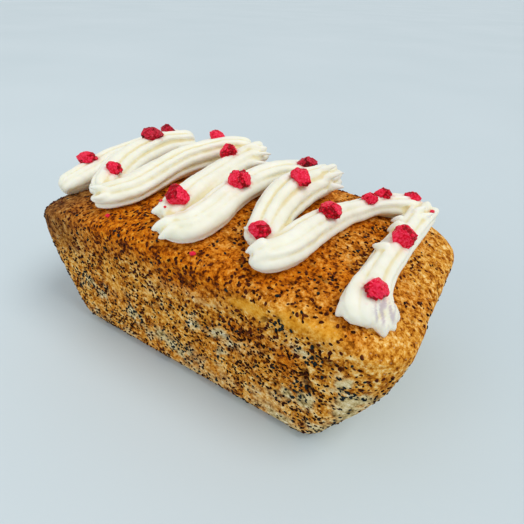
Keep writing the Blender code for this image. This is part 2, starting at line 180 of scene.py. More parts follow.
# For each strand, how much it narrows towards its underside where it is lifted (below zero, it widens).
KEELS = (0.25, 0.1, -0.06, -0.08, 0.2, 0.2, 0.4, 0.4)
CURVE_STEPS = 40
STATION = 0.0008
NOSE, NOSE_TIP = 0.0078, 0.20
RIDGE_SWEEP = 262.0
FINE_RIDGES = 7
RIDGE_TOP, RIDGE_DEPTH = 1.07, 0.38
RIDGE_FOOT = 0.45  # height of the plain cream below and beside the ridges
SECTION_STEPS = 120
SWELL = 0.05
END_TIP = 0.0016
FLAT_LENGTH, FLATTENING = 0.014, 0.50  # the last strand is pressed flat towards its end
RIBBON_VOXEL = 0.00062
# These measure where painted shade goes in the grooves between the frosting's ridges.
GROOVE_SMOOTHING, GROOVE_DEPTH = 17, 0.00027
CREAM_RELIEF = ((0.00030, 120.0), (0.00014, 420.0))  # height and scale
# Torn ends of the ridges: where the tip shows, where it grows out of the frosting, its radius in mm.
TIPS = (
    ((150.5, 212), (170, 211), 4.4),
    ((150.5, 230), (171, 225), 4),
    ((157.5, 239), (177, 232), 3.6),
    ((245, 252.5), (264, 247), 3.6),
    ((250, 263.5), (268, 256), 3.2),
    ((243.5, 228), (258, 232), 2.6),
    ((272, 154), (252, 157), 1.8),
    ((273, 163.5), (252, 166), 1.8),
    ((262, 147), (248, 149), 2.2),
    ((344, 172.5), (326, 180), 2),
    ((345.5, 187), (328, 189), 2.4),
    ((336, 166), (322, 172), 2.2),
    ((87.5, 187), (104, 191), 2.4),
    ((92, 199), (108, 198), 2.2),
    ((386, 231.5), (400, 226), 2.6),
    ((390, 221), (401, 220), 2.2),
    ((371.5, 245), (386, 250), 3.2),
    ((334.5, 318), (354, 303), 5.2),
    ((350, 325), (362, 306), 6),
    ((366, 332), (369, 310), 6),
    ((384.5, 341), (376, 316), 6),
    ((395, 331), (382, 314), 4.6),
    ((400, 321), (386, 309), 4),
    ((435, 213), (422, 219), 2),
    ((427.5, 206.5), (416, 213), 2),
)
TIP_RINGS, TIP_STEPS = 14, 14
TIP_THICKNESS = 0.0030  # half of it
TIP_RISE = 0.0025  # the most a tip stands above its root
TIP_CLEARANCE = 0.0006  # the least a tip stands above the crust
# Painted bluish shade, in streaks, on the thin smear at the last strand's end: where it shows, and half its
# size.
SMEAR_SHADE_PIXEL = (386, 312)  # where the thin bluish smear shows
SMEAR_SHADE_SIZE = (0.0065,) * 3  # half of it
STAIN_NEAR, STAIN_REACH, STAIN_WIDTH, STAIN_FADE = 0.010, 0.0035, 0.0022, 0.0018

# ---- raspberry pieces: place, length, width and height in mm, turn in degrees ----
RASPBERRIES = (
    (-81, -16.5, 11, 7.5, 6.5, 20),
    (-52, -23.5, 6.5, 8.5, 6.5, 75),
    (-62.5, 11, 12, 8, 7, 35),
    (-67, 27, 8.5, 7, 6, 10),
    (-32.5, 26.5, 9, 6.5, 6, 5),
    (-17.5, 15.5, 9.5, 9, 8, 60),
    (-9, -30, 11, 10, 8.5, 120),
    (4, -7, 10.5, 9.5, 8, 30),
    (19, 26, 10, 6.5, 5.5, 15),
    (28, 2.5, 10.5, 8, 7, -20),
    (29, -30.5, 8.5, 8, 7, 15),
    (44.3, -4, 9.5, 8.5, 7.5, -30),
    (51.5, 20.5, 7, 6, 5, 20),
    (54.5, 29, 8, 6, 5, 35),
    (66, 37, 8, 6.5, 5, -10),
    (71.5, 2, 10, 9.5, 8.5, 80),
    (73, -32.5, 8, 8, 6.5, -35),
)
LUMP, LUMP_SCALE, FINE_LUMP_SCALE, LUMP_SHIFT = 0.17, 1.9, 4.1, 0.43
BERRY_DETAIL = 6
BERRY_SINK = 0.16  # its middle stands this share of its height above the frosting
BERRY_RISE = 0.0008  # the most it stands above its solid
BREAKS, BREAK_DEPTHS, BREAK_ROUNDING = 7, (0.66, 0.86), 0.15
CELL_SCALE, CELL_BEND, CELL_BEND_SCALE = 560.0, 0.0007, 420.0
CELL_HEIGHT, BROKEN_CELL_HEIGHT = 0.00042, 0.00012
FINE_GRAIN, FINE_SCALE = 0.00012, 1500.0
COARSE_GRAIN, COARSE_SCALE = 0.00024, 520.0
DARK_RASPBERRIES = (3, 4, 9)
CRUMBS = (  # where a crumb of raspberry shows, and its radius
    ((432, 212), 0.0009),
    ((108, 216), 0.0009),
    ((193, 254), 0.0010),
    ((165, 207), 0.0005),
    ((161, 201), 0.0006),
)
CRUMB_DETAIL = 3

# ---- seeds ----
SEED_COUNT, SEED_TRIES = 9200, 80000
SEED_RADIUS, SEED_SIZES = 0.00066, (0.66, 1.22)
SEED_PROUD = (0.22, 0.52)  # share of a seed that stands out of the crust
SEED_SEGMENTS, SEED_RINGS = 5, 4
SEED_CELL, CROWDING = 0.0010, 0.25  # a second seed in the same cell has this chance
LOWEST_SEED = 0.0012
SPARSE_RIM, SPARSE_END = (-0.016, 0.002), (0.066, 0.084)
BROWN_SEED_HEIGHTS = (0.035, 0.058)
FROSTING_FOOT = 0.045  # no frosting covers a seed below this height

# ---- colours ----
CRUST_TONES = {
    "crumb": (
        (0.39, (84, 34, 0)), (0.44, (156, 84, 8)), (0.485, (204, 130, 33)),
        (0.54, (232, 171, 73)), (0.61, (249, 217, 152)),
    ),
    "brown": (
        (0.40, (72, 24, 0)), (0.455, (144, 68, 2)), (0.50, (198, 104, 8)),
        (0.56, (218, 132, 22)), (0.64, (238, 172, 70)),
    ),
    "pale": (
        (0.38, (96, 80, 42)), (0.44, (166, 144, 92)), (0.49, (208, 188, 134)),
        (0.55, (230, 214, 168)), (0.62, (248, 240, 212)),
    ),
    # These golden tones are the colour of a painted highlight.
    "golden_highlight": (
        (0.34, (176, 100, 10)), (0.45, (222, 148, 34)), (0.56, (236, 172, 64)), (0.68, (246, 204, 120)),
    ),
    "smoky": (
        (0.37, (40, 20, 6)), (0.47, (96, 62, 26)), (0.56, (142, 100, 52)), (0.66, (186, 148, 96)),
    ),
}
# The last colour is painted shade for the crust's hollows and creases.
SCORCHED, CHIPPED, PAINTED_HOLLOW_SHADE = (84, 32, 0), (250, 226, 176), (70, 32, 4)
# The last cream is painted shade for the grooves between ridges.
CREAM_LOW, CREAM_HIGH, CREAM_GROOVE_SHADE = (238, 236, 216), (245, 243, 229), (232, 217, 158)
# The second colour is painted bluish shade, in streaks, on the smear at the last strand's end; the first is a
# real pink stain.
STAINED, PAINTED_SMEAR_SHADE = (232, 120, 130), (194, 180, 188)
SEED_KINDS = (  # name, darkest and lightest tone, roughness
    ("dark", (18, 4, 0), (60, 22, 4), 0.7),
    ("slate", (8, 15, 18), (36, 47, 50), 0.65),
    ("brown", (46, 12, 4), (98, 42, 18), 0.7),
)
# Darkest, middle and brightest reds. Noise varies the tone at random; the darkest also paints shade in the
# creases between drupelets, and the brightest a highlight on their tops.
RED, DARK_RED = (
    ((146, 0, 16), (222, 0, 40), (248, 56, 92)),
    ((84, 0, 10), (158, 0, 24), (216, 40, 68)),
)
BERRY_DUST = (250, 144, 158)

# ---- floor and light ----
FLOOR_HALF = 12.0
FLOOR_LOW, FLOOR_HIGH = (200, 213, 219), (205, 217, 223)
ROOM_COLOUR, ROOM_STRENGTH = (0.93, 0.97, 1.0, 1.0), 0.64
WINDOW_WAY, WINDOW_ANGLE = (-0.45, -0.10, -0.85), 30.0
WINDOW_COLOUR, WINDOW_STRENGTH = (1.0, 0.985, 0.95), 1.34
FILL_PLACE, FILL_AIM, FILL_SIZE = Vector((-0.5, -1.0, 0.5)), Vector((0.0, 0.0, 0.03)), 0.8
FILL_COLOUR, FILL_POWER = (1.0, 0.99, 0.96), 2.4


# ---- helpers ----


def smoothstep(value):
    value = min(max(value, 0.0), 1.0)
    return value * value * (3.0 - 2.0 * value)


def ramp(value, low, high):
    return smoothstep((value - low) / (high - low))


def blob(point, centre, radii):
    """1 at the centre, 0 on and beyond the ellipsoid."""
    total = sum(((point[axis] - centre[axis]) / radii[axis]) ** 2 for axis in range(3))
    return smoothstep(1.0 - math.sqrt(total))


def blobs(point, rows):
    """The sum of a table's blobs. A row is (middle, half sizes, strength)."""
    return sum(strength * blob(point, centre, radii) for centre, radii, strength in rows)


def rough(point, scale=1.0, shift=(0.0, 0.0, 0.0)):
    """Smooth noise, between about -1 and 1."""
    return noise.noise(Vector(point) * scale + Vector(shift))


def add_object(name, data):
    obj = bpy.data.objects.new(name, data)
    bpy.context.scene.collection.objects.link(obj)
    return obj


def new_object(name, points, faces):
    mesh = bpy.data.meshes.new(name)
    mesh.from_pydata([tuple(point) for point in points], [], faces)
    mesh.update()
    mesh.shade_smooth()
    return add_object(name, mesh)


def object_from(bm, name):
    """A smooth object made of the bmesh, which is freed."""
    mesh = bpy.data.meshes.new(name)
    bm.to_mesh(mesh)
    bm.free()
    mesh.shade_smooth()
    return add_object(name, mesh)


def tube_faces(rings, count):
    """Faces of a closed tube of rings, each of the same count of points."""
    faces = [tuple(range(count)), tuple(reversed(range((rings - 1) * count, rings * count)))]
    for level in range(rings - 1):
        for step in range(count):
            after = (step + 1) % count
            low, high = level * count, (level + 1) * count
            faces.append((low + step, high + step, high + after, low + after))
    return faces


def joined(shapes):
    """The points and faces of several shapes as one."""
    points, faces = [], []
    for more_points, more_faces in shapes:
        start = len(points)
        points += more_points
        faces += [tuple(start + index for index in face) for face in more_faces]
    return points, faces


def coordinates(mesh):
    values = np.empty(len(mesh.vertices) * 3)
    mesh.vertices.foreach_get("co", values)
    return values.reshape(-1, 3)


def normals(mesh):
    values = np.empty(len(mesh.vertices) * 3, dtype=np.float32)
    mesh.vertices.foreach_get("normal", values)
    return values.reshape(-1, 3).astype(float)


def set_coordinates(mesh, values):
    mesh.vertices.foreach_set("co", np.ascontiguousarray(values, dtype=np.float32).ravel())
    mesh.update()


def set_attribute(mesh, name, values):
    layer = mesh.attributes.new(name, "FLOAT", "POINT")
    layer.data.foreach_set("value", np.ascontiguousarray(values, dtype=np.float32))


def neighbour_mean(edges, values):
    """Average of each vertex's neighbours."""
    total = np.zeros_like(values)
    count = np.zeros(len(values))
    for here, there in (edges.T, edges.T[::-1]):
        np.add.at(total, here, values[there])
        np.add.at(count, here, 1)
    count = np.maximum(count, 1)
    return total / (count[:, None] if values.ndim == 2 else count)


def hollowness(mesh, smoothing):
    """Positive in grooves and negative on ridges, per vertex, in metres of offset from the neighbours."""
    edges = np.array([edge.vertices for edge in mesh.edges])
    points = coordinates(mesh)
    smooth = points.copy()
    for _ in range(smoothing):
        smooth = neighbour_mean(edges, smooth)
    amount = ((smooth - points) * normals(mesh)).sum(axis=1)
    for _ in range(2):
        amount = neighbour_mean(edges, amount)
    return amount


def apply_modifiers(obj):
    graph = bpy.context.evaluated_depsgraph_get()
    mesh = bpy.data.meshes.new_from_object(obj.evaluated_get(graph))
    obj.modifiers.clear()
    obj.data = mesh


def add_relief(mesh, relief):
    """Move every vertex out by the relief there, and centre the mesh on the frame's origin."""
    place = coordinates(mesh)
    amount = np.array([relief(point) for point in place])
    set_coordinates(mesh, place + normals(mesh) * amount[:, None] + np.array(CENTRING))


def surface_of(obj):
    points = [vert.co for vert in obj.data.vertices]
    return BVHTree.FromPolygons(points, [tuple(face.vertices) for face in obj.data.polygons])


# ---- camera ----


def camera_axes():
    azimuth, elevation, roll = (math.radians(value) for value in (AZIMUTH, ELEVATION, ROLL))
    back = Vector((
        math.sin(azimuth) * math.cos(elevation),
        -math.cos(azimuth) * math.cos(elevation),
        math.sin(elevation),
    ))
    level_right = (-back).cross(UP).normalized()
    level_up = level_right.cross(-back)
    right = level_right * math.cos(roll) + level_up * math.sin(roll)
    up = level_up * math.cos(roll) - level_right * math.sin(roll)
    return right, up, back, TARGET + CENTRING + back * DISTANCE


def make_camera():
    right, up, back, place = camera_axes()
    data = bpy.data.cameras.new("camera")
    data.sensor_fit = "HORIZONTAL"
    data.sensor_width = SENSOR
    data.lens = LENS
    data.clip_start = 0.01
    data.clip_end = 60.0
    camera = add_object("camera", data)
    matrix = Matrix((right, up, back)).transposed().to_4x4()
    matrix.translation = place
    camera.matrix_world = matrix
    bpy.context.scene.camera = camera


def sight(pixel):
    """Start and direction of the line of sight through a point of the picture."""
    right, up, back, place = camera_axes()
    across = (pixel[0] - CENTRE_PIXEL) / FOCAL_PIXELS
    down = (pixel[1] - CENTRE_PIXEL) / FOCAL_PIXELS
    return place, (-back + right * across - up * down).normalized()


# ---- loaf ----


def rounded_rectangle(half_x, half_y, radius):
    corners = ((1, 1), (-1, 1), (-1, -1), (1, -1))
    ring = []
    for index, (side_x, side_y) in enumerate(corners):
        centre_x = side_x * (half_x - radius)
        centre_y = side_y * (half_y - radius)
        for step in range(CORNER_STEPS + 1):
            angle = (index + step / CORNER_STEPS) * math.pi / 2
            ring.append((centre_x + radius * math.cos(angle), centre_y + radius * math.sin(angle)))
        next_x, next_y = corners[(index + 1) % 4]
        angle = (index + 1) * math.pi / 2
        target_x = next_x * (half_x - radius) + radius * math.cos(angle)
        target_y = next_y * (half_y - radius) + radius * math.sin(angle)
        start_x, start_y = ring[-1]
        steps = LONG_STEPS if index % 2 == 0 else SHORT_STEPS
        for step in range(1, steps):
            share = step / steps
            ring.append((start_x + (target_x - start_x) * share, start_y + (target_y - start_y) * share))
    return ring


def rim_height(x):
    return END_HEIGHT + RIM_ARCH * (1.0 - min(abs(x) / (LENGTH / 2), 1.0) ** 2)


def crown_rise(scale):
    return CROWN * (1.0 - min(scale, 1.0) ** CROWN_POWER) ** (1.0 / CROWN_POWER)


def ring_scale(x, y):
    x, y = abs(x), abs(y)
    scale = max(x / (LENGTH / 2), y / (WIDTH / 2))
    inner_x = LENGTH / 2 - RIM_CORNER
    inner_y = WIDTH / 2 - RIM_CORNER
    if x <= scale * inner_x or y <= scale * inner_y:
        return scale
    square = inner_x**2 + inner_y**2 - RIM_CORNER**2
    half = x * inner_x + y * inner_y
    return (half - math.sqrt(max(half**2 - square * (x * x + y * y), 0.0))) / square


def crust_height(x, y):
    return rim_height(x) + crown_rise(ring_scale(x, y))


def crust_normal(x, y):
    step = 0.0005
    rise_x = crust_height(x + step, y) - crust_height(x - step, y)
    rise_y = crust_height(x, y + step) - crust_height(x, y - step)
    return Vector((-rise_x, -rise_y, 2 * step)).normalized()


def wall_ring(level, inset=0.0, height=None):
    lean = END_LEAN * (1.0 - level) ** LEAN_POWER
    corner = max(BASE_CORNER + (RIM_CORNER - BASE_CORNER) * level - inset / 2, SMALLEST_CORNER)
    outline = rounded_rectangle(LENGTH / 2 - lean - inset, WIDTH / 2 - inset, corner)
    return [(x, y, level * rim_height(x) if height is None else height) for x, y in outline]


def crown_ring(scale):
    outline = rounded_rectangle(LENGTH / 2, WIDTH / 2, RIM_CORNER)
    rise = crown_rise(scale)
    return [(x * scale, y * scale, rim_height(x * scale) + rise) for x, y in outline]


def loaf_rings():
    rings = []
    for step in range(EDGE_STEPS + 1):
        angle = (1.0 - step / EDGE_STEPS) * math.pi / 2
        height = BASE_EDGE * (1.0 - math.sin(angle))
        inset = BASE_EDGE * (1.0 - math.cos(angle))
        rings.append(wall_ring(height / END_HEIGHT, inset, height))
    for step in range(WALL_STEPS + 1):
        rings.append(wall_ring(EDGE_LEVEL + (1.0 - EDGE_LEVEL) * step / WALL_STEPS))
    for step in range(1, CROWN_STEPS):
        angle = step / CROWN_STEPS * math.pi / 2
        rings.append(crown_ring(math.cos(angle) ** (2.0 / CROWN_POWER)))
    return rings


def crumb_relief(point):
    """How far the crust stands out here: broad crags, shallow dents and open crumb."""
    amount = sum(height * rough(point, scale, shift) for height, scale, shift in CRAGS)
    amount -= PIT_DEPTH * ramp(rough(point, PIT_SCALE, PIT_SHIFT), *PIT_RANGE)
    amount += blobs(point, FOLDS)
    return amount * smoothstep(point[2] / CRAG_FADE)


def build_loaf():
    rings = loaf_rings()
    count = len(rings[0])
    points = [point for ring in rings for point in ring]
    centre = len(points)
    points.append((0.0, 0.0, crust_height(0.0, 0.0)))
    faces = [tuple(reversed(range(count)))]
    for level in range(len(rings) - 1):
        for step in range(count):
            after = (step + 1) % count
            low, high = level * count, (level + 1) * count
            faces.append((low + step, low + after, high + after, high + step))
    last = (len(rings) - 1) * count
    faces += [(last + step, last + (step + 1) % count, centre) for step in range(count)]
    loaf = new_object("loaf_crust", points, faces)
    add_relief(loaf.data, crumb_relief)
    return loaf


# ---- how browned or pale the crust is ----


def rim_share(point, low, high):
    """0 at the first height from the rim, 1 at the second."""
    rim = rim_height(point[0])
    return ramp(point[2], rim + low, rim + high)


def cluster_share(point):
    """Where slate-blue seeds crowd in greyish crumb."""
    return blobs(point, SEED_CLUSTERS)


def pale_share(point):
    """Where the crumb is pale and greyish: the near corner's foot, the near end and patches of the side."""
    x, y, z = point
    patch = rough((x * 60.0, y * 60.0, z * 90.0))
    patch += 0.6 * rough(point, 190.0) + 0.3 * rough(point, 420.0)
    low = 1.0 - ramp(z, *FOOT_HEIGHTS)
    near = ramp(x, *NEAR_SIDE)
    end = ramp(x, *NEAR_END)
    amount = -0.30 + 0.30 * low + (0.75 + 0.45 * end) * patch
    amount += 0.85 * near * low * (1.0 - 0.6 * end) + 0.72 * end * (1.0 - ramp(z, *PALE_END_HEIGHTS))
    patchy = 0.62 + 1.5 * rough(point, 150.0, (1.0, 6.0, 3.0)) + 0.7 * rough(point, 380.0)
    amount += patchy * (blobs(point, PALE_PATCHES) + 1.2 * cluster_share(point))
    amount -= 0.9 * rim_share(point, *PALE_RIM)
    amount -= 1.2 * blobs(point, ORANGE_PATCHES)
    return smoothstep(amount + 0.12)


def brown_share(point):
    """Where the crust is deep orange-brown: the upper edges and the top."""
    patch = rough(point, 48.0, (4.0, 1.0, 8.0)) + 0.5 * rough(point, 170.0)
    amount = 0.10 + 0.75 * rim_share(point, *BROWN_RIM) + 0.6 * patch
    amount += 0.5 * blobs(point, ORANGE_PATCHES)
    amount -= 0.9 * blob(point, *LESS_BROWN)
    amount -= 0.7 * ramp(point[0], *NEAR_TOP)
    return smoothstep(amount)


def golden_highlight_share(point):
    """Painted highlight in a golden tone: the smooth streak along the front of the top, and the lighter near
    end.
    """
    uneven = 0.8 + 0.9 * rough(point, 130.0) + 0.5 * rough(point, 330.0)
    return smoothstep(blobs(point, GOLDEN_HIGHLIGHTS) * uneven)


def smoky_share(point):
    """The greyer, darker crust towards the far end."""
    return 0.85 * (1.0 - ramp(point[0], *SMOKY_LENGTH)) * ramp(point[2], *SMOKY_HEIGHTS)


def tone_crust(loaf):
    """Store the colour zones, and how hollow or proud the crust is, which sets the painted shade in its
    hollows and creases, on the loaf's points.
    """
    points = coordinates(loaf.data) - np.array(CENTRING)
    zones = (("pale", pale_share), ("brown", brown_share), ("golden_highlight", golden_highlight_share), ("smoky", smoky_share))
    for name, share in zones:
        set_attribute(loaf.data, name, [share(point) for point in points])
    # Creases that fold inwards get extra painted shade.
    creases = [(centre, radii, CREASE_SHADE) for centre, radii, height in FOLDS if height < 0.0]
    hollow_shade = hollowness(loaf.data, CRUST_SMOOTHING) / CRUST_DEPTH
    hollow_shade += np.array([blobs(point, creases) for point in points])
    set_attribute(loaf.data, "hollow_shade", np.clip(hollow_shade, -1.0, 1.0))


# ---- seeds ----


def seed_shape():
    """A kidney-shaped seed of unit radius, a little longer than it is wide."""
    bm = bmesh.new()
    bmesh.ops.create_uvsphere(bm, u_segments=SEED_SEGMENTS, v_segments=SEED_RINGS, radius=1.0)
    bmesh.ops.triangulate(bm, faces=bm.faces)
    for vert in bm.verts:
        x, y, z = vert.co
        vert.co = (x * 0.92 - 0.22 * (1.0 - z * z), y * 0.80, z * 1.12)
    points = np.array([tuple(vert.co) for vert in bm.verts])
    faces = np.array(sorted([vert.index for vert in face.verts] for face in bm.faces))
    bm.free()
    return points[:, [2, 0, 1]], faces


def build_seeds(name, spots, chance):
    """One mesh of many seeds. A spot is (place, normal, radius, share that stands out)."""
    shape, faces = seed_shape()
    points, triangles = [], []
    for number, (place, normal, radius, proud) in enumerate(spots):
        spin = Matrix.Rotation(chance.uniform(0.0, math.tau), 3, "Z")
        tilt = Matrix.Rotation(chance.gauss(0.0, 0.35), 3, "X")
        turn = np.array(normal.to_track_quat("Z", "Y").to_matrix() @ spin @ tilt)
        stretch = np.array((chance.uniform(0.95, 1.2), chance.uniform(0.9, 1.05), chance.uniform(0.85, 1.0)))
        lift = radius * (2.0 * proud - 1.0)
        points.append((shape * stretch * radius) @ turn.T + np.array(place) + np.array(normal) * lift)
        triangles.append(faces + number * len(shape))
    return new_object(name, np.concatenate(points), np.concatenate(triangles))


def seed_density(point):
    """Chance that a seed shows here: dense on the sides in drifts, sparse on the browned top."""
    drift = rough(point, 75.0, (2.0, 5.0, 1.0)) + 0.6 * rough(point, 190.0)
    top = rim_share(point, *SPARSE_RIM)
    density = 0.54 - 0.12 * top + (0.8 - 0.3 * top) * drift - 0.38 * ramp(point[0], *SPARSE_END)
    # Fewer seeds show under the painted highlight.
    density -= 0.75 * golden_highlight_share(point)
    return density + 0.55 * cluster_share(point)


def seed_kind(point, chance):
    """Number of the seed's row in SEED_KINDS."""
    if chance.random() < 0.10 + 0.60 * pale_share(point) + 1.2 * cluster_share(point):
        return 1
    if chance.random() < 0.25 + 0.55 * ramp(point[2], *BROWN_SEED_HEIGHTS):
        return 2
    return 0


def seed_place(mesh):
    """A function that picks a random place on the mesh, with the normal there."""
    mesh.calc_loop_triangles()
    corners = [tuple(triangle.vertices) for triangle in mesh.loop_triangles]
    cumulative = np.cumsum([triangle.area for triangle in mesh.loop_triangles])
    points = coordinates(mesh)
    outward = normals(mesh)

    def pick(chance):
        found = int(np.searchsorted(cumulative, chance.random() * cumulative[-1]))
        a, b, c = corners[min(found, len(corners) - 1)]
        first, second = sorted((chance.random(), chance.random()))
        spot = points[a] * first + points[b] * (second - first) + points[c] * (1.0 - second)
        normal = outward[a] * first + outward[b] * (second - first) + outward[c] * (1.0 - second)
        return spot, Vector(normal)

    return pick


def scatter_seeds(loaf, cover):
    """Spots for the seeds of each kind, on the crust that the frosting leaves bare."""
    chance = random.Random(11)
    pick = seed_place(loaf.data)
    taken = set()
    kinds = ([], [], [])
    for _ in range(SEED_TRIES):
        if sum(len(spots) for spots in kinds) >= SEED_COUNT:
            break
        spot, normal = pick(chance)
        place = Vector(spot)
        local = spot - np.array(CENTRING)
        if place.z < LOWEST_SEED or chance.random() > seed_density(local):
            continue
        if place.z > FROSTING_FOOT and cover.ray_cast(place + UP * 0.0002, UP)[0] is not None:
            continue
        cell = tuple(int(math.floor(value / SEED_CELL)) for value in spot)
        if cell in taken and chance.random() > CROWDING:
            continue
        taken.add(cell)
        radius = SEED_RADIUS * chance.uniform(*SEED_SIZES)
        row = (place, normal.normalized(), radius, chance.uniform(*SEED_PROUD))
        kinds[seed_kind(local, chance)].append(row)
    return kinds


# ---- frosting ----


def strand_stations(rows):
    """Evenly spaced (x, y, half width, lift) along the smooth curve through a strand's points."""
    knots = [Vector(row) / 1000 for row in rows]
    knots = [knots[0] * 2 - knots[1], *knots, knots[-1] * 2 - knots[-2]]
    curve = []
    for before, start, end, after in zip(knots, knots[1:], knots[2:], knots[3:]):
        for step in range(CURVE_STEPS):
            share = step / CURVE_STEPS
            slope = (end - before) / 2
            bend = before - start * 2.5 + end * 2 - after / 2
            twist = (start - end) * 1.5 + (after - before) / 2
            curve.append(start + slope * share + bend * share**2 + twist * share**3)
    curve.append(knots[-2])
    return resample(curve)


def resample(route):
    lengths = [0.0]
    for before, after in zip(route, route[1:]):
        lengths.append(lengths[-1] + (after - before).xy.length)
    count = round(lengths[-1] / STATION)
    stations = []
    segment = 0
    for step in range(count + 1):
        target = lengths[-1] * step / count
        while segment < len(route) - 2 and lengths[segment + 1] < target:
            segment += 1
        span = lengths[segment + 1] - lengths[segment]
        stations.append(route[segment].lerp(route[segment + 1], (target - lengths[segment]) / span))
    return stations, lengths[-1] / count


def nose_scale(distance):
    share = min(distance / NOSE, 1.0)
    return NOSE_TIP + (1.0 - NOSE_TIP) * math.sqrt(max(1.0 - (1.0 - share) ** 2, 0.0))


def ridge_profile(degrees, along, index):
    """(height, number) of the ridge at this angle: broad uneven ridges with narrow grooves between them."""
    share = (degrees - 90.0 + RIDGE_SWEEP / 2) / RIDGE_SWEEP
    if not 0.0 <= share <= 1.0:
        return RIDGE_FOOT, 0
    drift = 0.55 * rough((along * 14.0, index * 7.7, 9.0))
    uneven = 0.34 * rough((share * 5.0, along * 9.0, index * 3.3))
    turns = share * (FINE_RIDGES - 1) + drift + uneven
    number = math.floor(turns + 0.5)
    offset = abs(turns - number) * 2.0
    height = math.sqrt(max(1.0 - offset**2, 0.0))
    strength = 0.85 + 0.75 * rough((number * 3.7 + index * 11.3, along * 26.0, 0.5))
    crest = 0.30 * rough((number * 5.9 + index * 2.3, along * 38.0, 6.5))
    fade = smoothstep(share / 0.08) * smoothstep((1.0 - share) / 0.08)
    return RIDGE_FOOT + ((height - RIDGE_FOOT) * strength + crest) * fade, number


def strand_section(station, heading, index, from_start, from_end):
    """The ring of points round one station of a strand. A lifted strand has a keel that reaches the crust."""
    x, y, half_width, lift = station
    normal = crust_normal(x, y)
    along = Vector((heading.x, heading.y, 0.0)).normalized()
    across = along.cross(normal).normalized()
    half_height = HEIGHT_SHARE * half_width
    flat = 0.0
    if index == len(STRANDS) - 1:
        flat = 1.0 - smoothstep(from_end / FLAT_LENGTH)
        half_height *= 1.0 - FLATTENING * flat
    centre = Vector((x, y, crust_height(x, y))) + normal * (CENTRE_SHARE * half_width + lift)
    narrowing = KEELS[index] * min(max(lift, 0.0) / KEEL_LIFT, 1.0)
    near = min(from_start, from_end)
    end = nose_scale(near)
    outward = -along if from_start < from_end else along
    nearness = 1.0 - smoothstep(near / NOSE)
    swell = 1.0 + SWELL * rough((from_start * 60.0, index * 5.1, 2.0))
    depth = RIDGE_DEPTH * (1.0 - 0.45 * flat)
    ring = []
    for step in range(SECTION_STEPS):
        degrees = -90.0 + 360.0 * step / SECTION_STEPS
        height, number = ridge_profile(degrees, from_start, index)
        lobe = RIDGE_TOP - depth * (1.0 - height)
        size = min(end + 0.22 * height * nearness, 1.0) * lobe * swell
        pick = rough((number * 5.3 + index * 2.9, 4.4, 1.0 if from_start < from_end else 7.0))
        tip = END_TIP * nearness * max(height - 0.4, 0.0) * max(0.4 + pick, 0.0)
        angle = math.radians(degrees)
        side, rise = half_width * math.cos(angle), half_height * math.sin(angle)
        if rise < 0.0:
            side *= 1.0 + narrowing * math.sin(angle)
            rise *= 1.0 + max(lift, 0.0) / half_height
        ring.append(centre + across * size * side + normal * size * rise + outward * tip)
    return ring


def build_strand(index):
    stations, spacing = strand_stations(STRANDS[index])
    points = []
    for number, station in enumerate(stations):
        before = stations[max(number - 1, 0)]
        after = stations[min(number + 1, len(stations) - 1)]
        from_start = number * spacing
        from_end = (len(stations) - 1 - number) * spacing
        points += strand_section(station, after - before, index, from_start, from_end)
    return points, tube_faces(len(stations), SECTION_STEPS)


def tip_shape(root, tip, radius):
    """A torn ridge end: round at its root, pointed and a little bent at its tip."""
    along = tip - root
    back = root - along * 0.35
    side = along.cross(UP).normalized()
    up = side.cross(along).normalized()
    points = []
    for level in range(TIP_RINGS + 1):
        share = level / TIP_RINGS
        middle = back.lerp(tip, share) + up * (0.10 * along.length * math.sin(share * math.pi))
        size = radius * max(1.0 - share, 0.0) ** 0.7 * (0.35 + 0.65 * smoothstep(share / 0.25)) + 0.00025
        rise = min(size, TIP_THICKNESS)
        for step in range(TIP_STEPS):
            angle = math.tau * step / TIP_STEPS
            points.append(middle + side * size * 0.8 * math.cos(angle) + up * rise * math.sin(angle))
    return points, tube_faces(TIP_RINGS + 1, TIP_STEPS)


def tip_shapes(strands):
    """Each tip starts on the frosting that the line of sight meets and ends beside it, above the crust."""
    surface = BVHTree.FromPolygons(*joined(strands))
    shapes = []
    for tip_pixel, root_pixel, radius in TIPS:
        place, direction = sight(root_pixel)
        root = surface.ray_cast(place - CENTRING, direction)[0]
        if root is None:
            continue
        root = root + direction * radius / 1000 * 0.8
        place, toward = sight(tip_pixel)
        place = place - CENTRING
        distance = (root - place).dot(direction) / toward.dot(direction)
        tip = place + toward * distance
        if tip.z > root.z + TIP_RISE:
            tip = place + toward * ((root.z + TIP_RISE - place.z) / toward.z)
        tip.z = max(tip.z, crust_height(tip.x, tip.y) + TIP_CLEARANCE)
        shapes.append(tip_shape(root, tip, radius / 1000))
    return shapes


def cream_relief(point):
    return sum(height * rough(point, scale) for height, scale in CREAM_RELIEF)


def build_ribbon():
    shapes = [build_strand(index) for index in range(len(STRANDS))]
    shapes += tip_shapes(shapes)
    ribbon = new_object("frosting_piped", *joined(shapes))
    bm = bmesh.new()
    bm.from_mesh(ribbon.data)
    bmesh.ops.recalc_face_normals(bm, faces=bm.faces)
    bm.to_mesh(ribbon.data)
    bm.free()
    remesh = ribbon.modifiers.new("remesh", "REMESH")
    remesh.mode = "VOXEL"
    remesh.voxel_size = RIBBON_VOXEL
    relax = ribbon.modifiers.new("relax", "SMOOTH")
    relax.factor = 0.5
    relax.iterations = 1
    apply_modifiers(ribbon)
    # Painted shade for the grooves, from how hollow the frosting is there.
    groove_shade = hollowness(ribbon.data, GROOVE_SMOOTHING) / GROOVE_DEPTH
    set_attribute(ribbon.data, "groove_shade", np.clip(groove_shade, -1.0, 1.0))
    add_relief(ribbon.data, cream_relief)
    ribbon.data.shade_smooth()
    return ribbon


